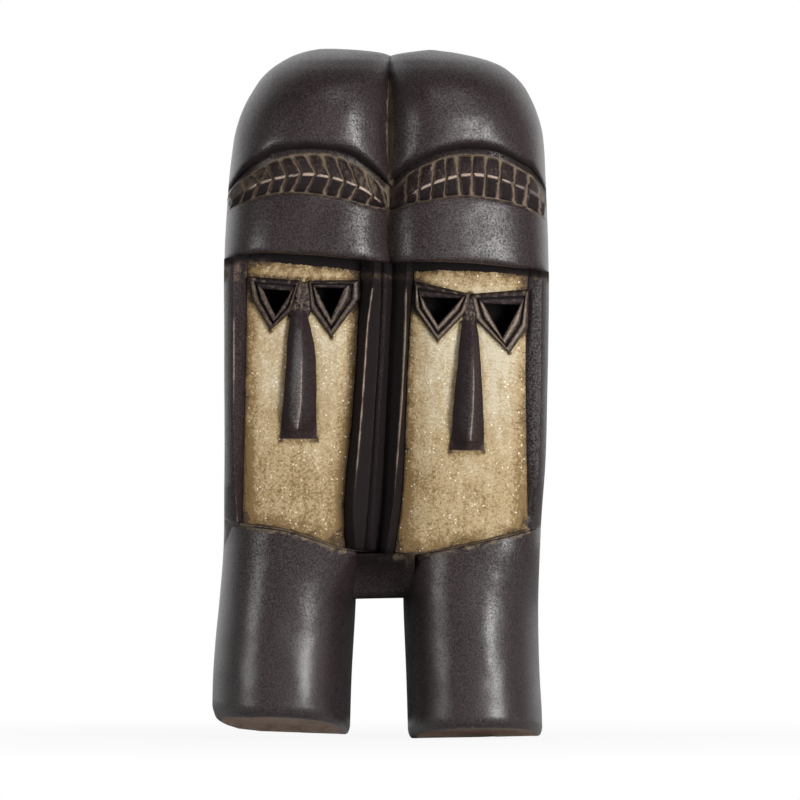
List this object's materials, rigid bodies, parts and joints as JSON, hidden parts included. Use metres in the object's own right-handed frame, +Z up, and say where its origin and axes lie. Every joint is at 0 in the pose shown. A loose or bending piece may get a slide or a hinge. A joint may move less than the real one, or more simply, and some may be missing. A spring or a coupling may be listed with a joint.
{
  "type": "carved wall mask",
  "caption": "Carved wooden wall mask with two abstract faces side by side on twin necks, sandy face coats and a ring hanger let into the back.",
  "frame": {"origin": "centre of the wall nail, in the plane of the back: the nail that the hanger ring hangs on", "axes": "+Z up along the mask's height, +Y into the wall, so the faces look along -Y, and +X to the right of someone who looks at the faces"},
  "size_m": [0.171, 0.064, 0.3498],
  "materials": {
    "stained_wood": "dark brown-black stain, waxed to a satin sheen, tan pigment rubbed into the cuts",
    "sand_coat": "gold-beige sand and glitter paint, rough",
    "plated_steel": "nickel plated, satin"
  },
  "bodies": {
    "mask": {"carved_body": "stained_wood", "left_face_coat": "sand_coat", "right_face_coat": "sand_coat", "hanger_strap": "plated_steel", "hanger_screws": "plated_steel"},
    "ring": {"hanger_ring": "plated_steel"}
  },
  "joints": [
    {"name": "ring_swing", "type": "hinge", "parent": "mask", "child": "ring", "pos_m": [0, -0.00502, -0.0097], "axis": [-1, 0, 0], "range_deg": [0, 170]}
  ]
}
